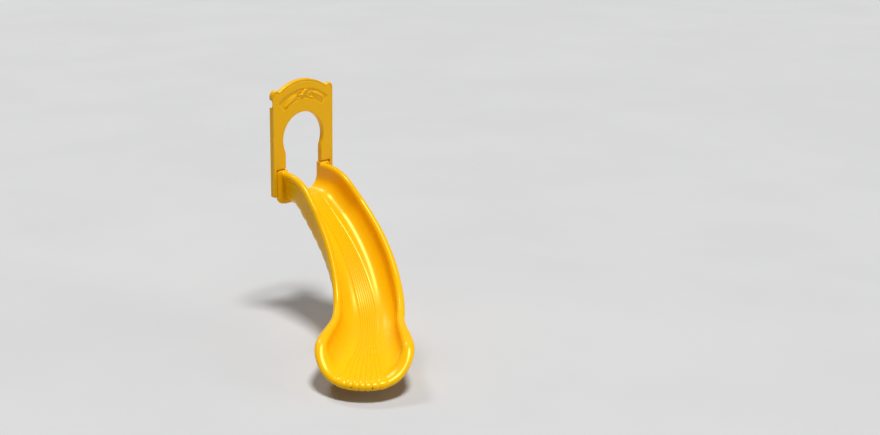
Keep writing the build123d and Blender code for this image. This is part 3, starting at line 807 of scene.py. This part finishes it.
def grain_group():
    """Fine moulding grain with a gentle waviness, as a normal."""
    group, given, out = new_group("grain", [("Grain", 0.05), ("Size", 900.0), ("Wave", 0.1)],
                                  [("Normal", "NodeSocketVector")])
    where = object_place(group)
    wave = node(group, "ShaderNodeTexNoise", Vector=where, Scale=14.0, Detail=2.0).outputs["Fac"]
    fine = node(group, "ShaderNodeTexNoise", Vector=where, Scale=given.outputs["Size"],
                Detail=2.0).outputs["Fac"]
    slow = node(group, "ShaderNodeBump", Height=wave, Strength=given.outputs["Wave"],
                Distance=0.002)
    bump = node(group, "ShaderNodeBump", Height=fine, Strength=given.outputs["Grain"],
                Distance=0.0003, Normal=slow.outputs["Normal"])
    group.links.new(bump.outputs["Normal"], out.inputs["Normal"])
    return group


# ---------------------------------------------------------------- finishes
# colour, darker colour for tone and painted hollow shade, colour where worn, roughness, tint of the
# shine
PLASTICS = {
    "yellow_plastic": ((0.97, 0.515, 0.002, 1), (0.95, 0.46, 0.002, 1), (0.98, 0.62, 0.03, 1),
                       0.25, (1, 0.84, 0.20, 1)),
    "yellow_caps": ((0.86, 0.43, 0.006, 1), (0.74, 0.33, 0.005, 1), (0.92, 0.56, 0.06, 1),
                    0.38, (1, 0.88, 0.40, 1)),
    "dark_plastic": ((0.055, 0.030, 0.008, 1), (0.020, 0.012, 0.006, 1), (0.16, 0.12, 0.08, 1),
                     0.55, (1, 1, 1, 1)),
}
# colour, darker colour for the crystals and the hollows, roughness at its smoothest and roughest,
# crystals in a metre
METALS = {
    "galvanised_steel": ((0.56, 0.57, 0.58, 1), (0.34, 0.35, 0.37, 1), 0.34, 0.58, 90.0),
    "stainless_steel": ((0.64, 0.63, 0.61, 1), (0.42, 0.40, 0.38, 1), 0.22, 0.38, 600.0),
    "brass": ((0.74, 0.53, 0.22, 1), (0.42, 0.27, 0.10, 1), 0.24, 0.42, 500.0),
}
DUST_ON_PLASTIC = (0.62, 0.50, 0.30, 1)
DUST_ON_METAL = (0.40, 0.36, 0.30, 1)
FLOOR_TONES = ((0.56, 0.56, 0.56, 1), (0.54, 0.54, 0.545, 1))


def start_material(name):
    material = bpy.data.materials.new(name)
    material.use_nodes = True
    return material, material.node_tree, material.node_tree.nodes["Principled BSDF"]


def give_grain(tree, shader, grain, **sizes):
    bump = use_group(tree, grain, **sizes)
    tree.links.new(bump.outputs["Normal"], shader.inputs["Normal"])


def plastic(name, base, tone_and_shade, worn, rough, shine, wear, grain):
    """Moulded plastic: cloudy colour, duller where worn or dusty, painted shade in the hollows."""
    material, tree, shader = start_material(name)
    masks = use_group(tree, wear, Scale=2.3, Dust=0.05).outputs
    colour = base
    # Tone gives the darker colour at random; Hollow adds it as painted shade in concave places
    for mask, share, other in (("Tone", 0.35, tone_and_shade), ("Hollow", 0.35, tone_and_shade), ("Edge", 0.30, worn)):
        colour = mix_colour(tree, maths(tree, "MULTIPLY", masks[mask], share), colour, other)
    colour = mix_colour(tree, masks["Dust"], colour, DUST_ON_PLASTIC)
    tree.links.new(colour, shader.inputs["Base Color"])
    for mask, share in (("Tone", 0.06), ("Dust", 0.5), ("Edge", 0.12)):
        rough = maths(tree, "ADD", maths(tree, "MULTIPLY", masks[mask], share), rough)
    tree.links.new(rough, shader.inputs["Roughness"])
    give_grain(tree, shader, grain, Grain=0.06, Size=850.0, Wave=0.04)
    shader.inputs["Specular Tint"].default_value = shine
    return material


def metal(name, base, dark_tone, smooth, rough, crystals, wear, grain):
    """Steel or brass: crystal spangle or brushing in the finish, darker in the hollows."""
    material, tree, shader = start_material(name)
    masks = use_group(tree, wear, Scale=9.0, Dust=0.35).outputs
    flake = node(tree, "ShaderNodeTexVoronoi", Vector=object_place(tree),
                 Scale=crystals).outputs["Color"]
    tone = node(tree, "ShaderNodeSeparateXYZ", Vector=flake).outputs["X"]
    colour = mix_colour(tree, maths(tree, "MULTIPLY", tone, 0.35), base, dark_tone)
    colour = mix_colour(tree, maths(tree, "MULTIPLY", masks["Hollow"], 0.5), colour, dark_tone)
    colour = mix_colour(tree, masks["Dust"], colour, DUST_ON_METAL)
    tree.links.new(colour, shader.inputs["Base Color"])
    shader.inputs["Metallic"].default_value = 1.0
    spread = maths(tree, "MULTIPLY", tone, rough - smooth)
    tree.links.new(maths(tree, "ADD", spread, smooth), shader.inputs["Roughness"])
    give_grain(tree, shader, grain, Grain=0.25, Size=1400.0, Wave=0.05)
    return material


def pale_floor(wear, grain):
    """Pale even floor, faintly clouded."""
    material, tree, shader = start_material("pale_floor")
    masks = use_group(tree, wear, Scale=0.35, Dust=0.0).outputs
    tree.links.new(mix_colour(tree, masks["Tone"], *FLOOR_TONES), shader.inputs["Base Color"])
    shader.inputs["Roughness"].default_value = 0.75
    shader.inputs["Specular IOR Level"].default_value = 0.2
    give_grain(tree, shader, grain, Grain=0.05, Size=300.0, Wave=0.0)
    return material


def finish_everything(pieces, floor):
    """Gives each piece and each CAD node the finish of its slot."""
    wear, grain = wear_group(), grain_group()
    finishes = {name: plastic(name, *look, wear, grain) for name, look in PLASTICS.items()}
    finishes |= {name: metal(name, *look, wear, grain) for name, look in METALS.items()}
    for piece in pieces:
        piece.data.materials.append(finishes["yellow_plastic"])
    for part in frame["record"]["subparts"]:
        cad = frame["nodes"][part["node"]]
        cad.data.materials.clear()
        cad.data.materials.append(finishes[part["material_slot"]])
    floor.data.materials.append(pale_floor(wear, grain))


# ---------------------------------------------------------------- stage, light and camera
# direction that it shines from, strength, and how many degrees wide it is
LIGHTS = {
    "top": ((-0.02, -0.20, 1.0), 3.0, 14),
    "behind": ((0.15, 0.75, 1.0), 0.8, 16),
    "right": ((1.0, -1.2, 0.45), 0.55, 26),
}
SKY_COLOUR, SKY_STRENGTH = (0.80, 0.82, 0.85, 1), 0.13
CAMERA_TURN, CAMERA_TILT = -41.51, 17.79
CAMERA_BACK, CAMERA_RIGHT, CAMERA_UP = 15.70, -0.8104, 0.4472    # from the panel's left foot
CAMERA_LENS, CAMERA_SHIFT = 52.5, (0.1125, 0.0199)


def build_floor():
    """Flat round floor, wide enough to fill the view from any side."""
    bm = bmesh.new()
    rings = [[(r * cos(a), r * sin(a), GROUND) for a in np.linspace(0, 2 * pi, 65)[:-1]]
             for r in (120.0, 40.0, 12.0, 4.0, 1.0)]
    verts = add_grid(bm, rings, close=True)
    bm.faces.new(verts[-1])
    floor = new_object("floor", bm, 80)
    return floor


def build_light():
    """Soft studio light: a broad top light, a weaker one from behind, a fill from the front."""
    world = bpy.data.worlds.new("studio")
    world.use_nodes = True
    background = world.node_tree.nodes["Background"]
    background.inputs["Color"].default_value = SKY_COLOUR
    background.inputs["Strength"].default_value = SKY_STRENGTH
    bpy.context.scene.world = world
    for name, (towards, strength, spread) in LIGHTS.items():
        data = bpy.data.lights.new(name, "SUN")
        data.energy, data.angle = strength, radians(spread)
        lamp = bpy.data.objects.new(name, data)
        lamp.rotation_euler = Vector(towards).to_track_quat("Z", "Y").to_euler()
        lamp.location = Vector(towards) * 6
        bpy.context.scene.collection.objects.link(lamp)


def build_camera():
    """Camera well back, in front and to the left, looking down on the slide."""
    turn, tilt = radians(CAMERA_TURN), radians(CAMERA_TILT)
    across = Vector((cos(turn), sin(turn), 0))
    ahead = Vector((-sin(turn) * cos(tilt), cos(turn) * cos(tilt), -sin(tilt)))
    above = across.cross(ahead)
    foot_corner = Vector((-PANEL_HALF + 0.005, -PANEL_THICK, BED_LEVEL))
    data = bpy.data.cameras.new("camera")
    data.sensor_width, data.lens = 36, CAMERA_LENS
    data.shift_x, data.shift_y = CAMERA_SHIFT
    camera = bpy.data.objects.new("camera", data)
    camera.location = (foot_corner - CAMERA_RIGHT * across - CAMERA_UP * above
                       - CAMERA_BACK * ahead)
    camera.rotation_euler = ahead.to_track_quat("-Z", "Y").to_euler()
    bpy.context.scene.collection.objects.link(camera)
    bpy.context.scene.camera = camera


# ---------------------------------------------------------------- the slide
def add_piece(name, bm, cad_node):
    piece = new_object(name, bm)
    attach(piece, "root")
    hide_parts(cad_node)
    return piece


chute_skin = build_chute()
join_into(chute_skin, build_throat())
chute = add_piece("moulded_chute", chute_skin, "slide_chute")
panel = add_piece("moulded_panel", build_panel(), "entrance_panel")
finish_everything([chute, panel], build_floor())
build_light()
build_camera()
bpy.context.scene.view_settings.view_transform = "Standard"
